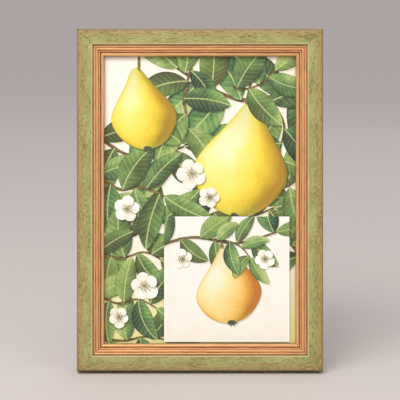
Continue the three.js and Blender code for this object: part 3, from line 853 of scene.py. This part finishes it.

# %% [markdown]
# ### The raised card
# The card has a picture of its own: one golden pear on a twig with its leaves and two blossoms, on plain
# cream. It is thick card, and a pale line painted all round its face is a painted highlight for the light
# that its cut edges catch.

# %% The raised card
card_low, card_high = upright_box("raised_card")
CARD = (card_high.x - card_low.x) / MM
across, up, side = card_ground.x, card_ground.y, CARD / GROUND_UNIT
# A pale line all round the card's face: a painted highlight for the light its cut edges catch.
from_edge = across.least(up).least(side - across).least(side - up)
card_colour = card_ground.mix(from_edge.rise(0.014, 0.006), card_colour, srgb(255, 253, 248))
lay(card_ground, card_colour, (196, 190, 170), 0.6)
rng = random.Random(11)
sprig = leafy([(-4, 98), (30, 106), (74, 100), (116, 112)], 15, 36, 0.5, rng, 3.4, 2)
sprig += hanging_pear((58, 98), 0.14, 80, width=0.44, lean=0.05, tone=0.52, seed=2.0, ink="ripe")
sprig += leafy([(50, 104), (64, 102), (78, 96), (88, 84)], 11, 32, 0.56, rng, 2.4, 1.4)
sprig += blossom((102, 84), 11, rng, 0.5)
sprig += blossom((18, 84), 10, rng, 1.3)
shape = printed_sheet(CARD, CARD, card_high.y - card_low.y, sprig, (1.0, -1.4))
place_piece("raised_pear_card", shape, [card_ground, *SHEET_INKS], "frame", ["raised_card"],
            STAND @ Matrix.Translation((card_low.x, card_low.y, card_low.z)))

# %% [markdown]
# ## The back
# Sheet and pressed metal parts have no modelling secret, but no real one has a knife edge. So each is a
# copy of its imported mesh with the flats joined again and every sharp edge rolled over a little: board
# edges by sanding, and metal edges by tumbling. The rolled faces can take a second finish, which is how
# the strut shows brown board where its black paper has worn.

# %% Easing the edges
def eased(node, width, segments=2):
    """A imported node's mesh, in place, with its flats joined and its sharp edges rolled.

    Rolled faces are numbered 1."""
    shape = bmesh.new()
    shape.from_mesh(frame["nodes"][node].data)
    bmesh.ops.remove_doubles(shape, verts=shape.verts, dist=1e-6)
    bmesh.ops.dissolve_limit(shape, angle_limit=math.radians(1), verts=shape.verts, edges=shape.edges)
    for face in shape.faces:
        face.material_index = 0
    sharp = [e for e in shape.edges if e.is_manifold and e.calc_face_angle() > math.radians(30)]
    rolled = bmesh.ops.bevel(shape, geom=sharp, offset=width, segments=segments, affect="EDGES", profile=0.5,
                             material=-1)
    for face in rolled["faces"]:
        face.material_index = 1
    bmesh.ops.recalc_face_normals(shape, faces=shape.faces)
    return shape


def screw(node):
    """A pan-head screw, its recess a cross sunk in the head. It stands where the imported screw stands."""
    low, high = upright_box(node)
    middle, head, length = (low + high) / 2, (high.x - low.x) / 2, high.y - low.y
    seat, rim = length - 1.2 * MM, 0.35 * MM
    outline = [(0, 0), (0.2 * head, 0.3 * MM), (0.45 * head, 0.9 * MM), (0.45 * head, seat), (head, seat)]
    steps = 24
    for i in range(steps + 1):
        share = 1 - i / steps
        outline.append((head * share, seat + rim + (1.2 * MM - rim) * (1 - share ** 2.6)))
    shape = bmesh.new()
    chain = [shape.verts.new((radius, height, 0)) for radius, height in outline]
    links = [shape.edges.new(pair) for pair in zip(chain, chain[1:])]
    bmesh.ops.spin(shape, geom=[*chain, *links], cent=(0, 0, 0), axis=(0, 1, 0), angle=math.tau, steps=72,
                   use_merge=True)
    bmesh.ops.remove_doubles(shape, verts=shape.verts, dist=1e-6)
    for vertex in shape.verts:
        arm, width = max(abs(vertex.co.x), abs(vertex.co.z)), min(abs(vertex.co.x), abs(vertex.co.z))
        if vertex.co.y > seat + rim * 1.2 and arm < 0.6 * head and width < 0.13 * head:
            vertex.co.y -= 0.5 * MM * (1 - (arm / (0.6 * head)) ** 3)
    bmesh.ops.translate(shape, vec=(middle.x, low.y, middle.z), verts=shape.verts)
    bmesh.ops.recalc_face_normals(shape, faces=shape.faces)
    return shape


# %% [markdown]
# ### Finishes of the back
# Hardboard is pressed wood fibre, so it is a felt of short brown hairs with darker flecks. The strut is
# board wrapped in black paper with a pressed grain. Zinc has a faint crystal bloom, brass plate is
# brushed along its length, and the bumpers are felt. The recipes below share fibres and flecks but scale
# them to each stuff.

# %% Board, metal and felt finishes
def fibre_board(name, light, dark, fleck, scale):
    board = Finish(name, {"Specular IOR Level": 0.3})
    place = board.object_place()
    x, y, z = board.parts(place)
    flat = board.noise(board.point(x * 3, y, z), scale, 3.0, 0.6, 1.2)
    steep = board.noise(board.point(x, y, z * 3), scale * 1.2, 3.0, 0.6, 1.2)
    cloud = board.noise(place, 14.0, 2.0)
    felt = (flat + steep) * 0.5
    colour = board.mix(felt.rise(0.36, 0.64), srgb(*dark), srgb(*light))
    colour = board.mix((cloud - 0.4) * 0.8, colour, srgb(*light))
    flecks = board.noise(place, scale * 1.6, 1.0).rise(0.66, 0.72)
    colour = board.mix(flecks * 0.7, colour, srgb(*fleck))
    board.feed("Base Color", colour)
    board.feed("Roughness", felt * 0.3 + 0.55)
    board.bump(felt * 0.7 + flecks * 0.3, 0.00012)
    return board


def grained_paper():
    paper = Finish("black_grained_paper", {"Specular IOR Level": 0.45})
    place = paper.object_place()
    pebbles = paper.cells(place, 1100.0)
    creases = paper.noise(place, 420.0, 3.0, 0.6, 0.8)
    handled = paper.noise(place, 24.0, 3.0)
    colour = paper.mix(creases.rise(0.35, 0.7), srgb(30, 30, 31), srgb(50, 49, 48))
    colour = paper.mix(handled.rise(0.55, 0.75) * 0.5, colour, srgb(70, 67, 64))
    paper.feed("Base Color", colour)
    paper.feed("Roughness", pebbles * 0.3 + 0.4 + handled * 0.1)
    paper.bump(pebbles * 0.6 + creases * 0.4, 0.00014)
    return paper


def plated(name, light, dark, brush, rough):
    """Bright metal: fine brushed lines along x, a crystal bloom, and a duller film where it was handled."""
    metal = Finish(name, {"Metallic": 1.0})
    place = metal.object_place()
    x, y, z = metal.parts(place)
    lines = metal.noise(metal.point(x * brush[0], y * brush[1], z * brush[1]), 1.0, 2.0, 0.6)
    bloom = metal.cells(place, 260.0, "Color")
    film = metal.noise(place, 45.0, 3.0)
    spots = metal.noise(place, 700.0, 2.0).rise(0.66, 0.74)
    grain = metal.parts(bloom)[0]
    colour = metal.mix(film.rise(0.4, 0.7), srgb(*light), srgb(*dark))
    colour = metal.mix(lines * 0.35 + grain * 0.25, colour, srgb(*dark))
    colour = metal.mix(spots * 0.6, colour, srgb(96, 82, 62))
    metal.feed("Base Color", colour)
    metal.feed("Roughness", lines * 0.16 + film * 0.14 + rough)
    metal.bump(lines, 0.00003)
    return metal


def soft(name, light, dark, scale):
    """Felt or foam: a nap of short fibres or small cells, wholly matt."""
    nap = Finish(name, {"Roughness": 0.95, "Specular IOR Level": 0.1})
    place = nap.object_place()
    hairs = nap.noise(place, scale, 3.0, 0.7, 1.5)
    nap.feed("Base Color", nap.mix(hairs.rise(0.35, 0.65), srgb(*dark), srgb(*light)))
    nap.bump(hairs, 0.0003)
    return nap


HARDBOARD = fibre_board("hardboard", (164, 124, 84), (118, 84, 52), (72, 50, 32), 420.0)
BOARD_EDGE = fibre_board("hardboard_edge", (184, 148, 108), (140, 104, 68), (92, 66, 42), 600.0)
GREY_BOARD = fibre_board("grey_board", (178, 174, 164), (140, 136, 128), (96, 92, 84), 500.0)
BLACK_PAPER = grained_paper()
CORE = fibre_board("worn_board", (150, 118, 84), (70, 58, 46), (40, 36, 32), 700.0)
ZINC = plated("zinc_steel", (206, 208, 210), (150, 153, 156), (120, 2400), 0.26)
BRASS = plated("brass_plate", (226, 190, 110), (172, 132, 66), (90, 2600), 0.22)
FELT = soft("felt_pad", (120, 104, 82), (70, 60, 48), 1500.0)
FOAM = soft("white_foam", (244, 243, 238), (206, 204, 198), 1900.0)

# %% [markdown]
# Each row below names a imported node, how far its edges roll, its finishes, its body and its material
# slot. The two hinge screws are turned anew with their crosses. The mount board, the foam pads and the
# nails across the mitres are hidden inside, so those nodes stay as packed and only take a finish.

# %% Making the back
ROWS = [("back_panel", 0.35, (HARDBOARD, BOARD_EDGE), "frame", "hardboard"),
        ("hinge_block", 0.5, (HARDBOARD, BOARD_EDGE), "frame", "hardboard"),
        ("hinge_fixed_leaf", 0.12, (ZINC, ZINC), "frame", "zinc_steel"),
        ("hinge_pin", 0.25, (ZINC, ZINC), "frame", "zinc_steel"),
        ("sawtooth_hanger", 0.12, (BRASS, BRASS), "frame", "brass_plate"),
        ("strut", 0.45, (BLACK_PAPER, CORE), "strut", "black_board"),
        ("hinge_strut_leaf", 0.12, (ZINC, ZINC), "strut", "zinc_steel")]
for node in frame["nodes"]:
    if node.startswith("point_"):
        ROWS.append((node, 0.08, (ZINC, ZINC), "frame", "zinc_steel"))
    elif node.startswith("hanger_nail_"):
        ROWS.append((node, 0.1, (BRASS, BRASS), "frame", "brass_plate"))
    elif node.startswith("strut_rivet_"):
        ROWS.append((node, 0.1, (ZINC, ZINC), "strut", "zinc_steel"))
    elif node.startswith("bumper_"):
        ROWS.append((node, 0.6, (FELT, FELT), "frame", "felt_pad"))
    elif node.startswith("hinge_screw_"):
        place_piece(f"{node}_crossed", screw(node), (ZINC,), "frame", [node])
for node, width, finishes, body, slot in ROWS:
    place_piece(f"{node}_eased", eased(node, width * MM), finishes, body, [node], Matrix())

for node, packed in frame["nodes"].items():
    kept = {"mount_board": GREY_BOARD, "foam_pad": FOAM, "v_nail": ZINC}
    for start, finish in kept.items():
        if node.startswith(start):
            packed.data.materials[0] = finish.material

# %% [markdown]
# ## Floor and light
# The picture stands on a plain pale floor that runs far back. One broad soft light stands above and in
# front, a little to the left, so that up-facing beads catch it and down-facing ones fall dark. A low fill
# keeps the shadows open, and a weak light behind shows the back.

# %% Floor and lights
floor_shape = bmesh.new()
bmesh.ops.create_grid(floor_shape, x_segments=1, y_segments=1, size=20)
floor_data = bpy.data.meshes.new("floor")
floor_shape.to_mesh(floor_data)
floor_shape.free()
plain = Finish("floor", {"Base Color": srgb(206, 197, 193), "Roughness": 0.9, "Specular IOR Level": 0.1})
floor_data.materials.append(plain.material)
floor = bpy.data.objects.new("floor", floor_data)
bpy.context.scene.collection.objects.link(floor)


def softbox(name, place, target, size, power, colour=(1, 0.98, 0.95)):
    data = bpy.data.lights.new(name, "AREA")
    data.shape, data.size, data.size_y = "RECTANGLE", size[0], size[1]
    data.energy, data.color = power, colour
    lamp = bpy.data.objects.new(name, data)
    bpy.context.scene.collection.objects.link(lamp)
    lamp.location = place
    lamp.rotation_euler = (Vector(target) - Vector(place)).to_track_quat("-Z", "Y").to_euler()


softbox("key", (-0.55, -1.0, 1.5), (0, 0, 0.17), (1.2, 0.9), 20)
softbox("fill", (1.2, -1.4, 0.6), (0, 0, 0.17), (1.0, 1.0), 4)
softbox("back", (0.6, 1.6, 1.4), (0, 0, 0.1), (1.6, 1.2), 3)
world = bpy.data.worlds.new("room")
world.use_nodes = True
world.node_tree.nodes["Background"].inputs["Color"].default_value = (0.8, 0.8, 0.82, 1)
world.node_tree.nodes["Background"].inputs["Strength"].default_value = 0.8
bpy.context.scene.world = world
bpy.context.scene.view_settings.view_transform = "Standard"
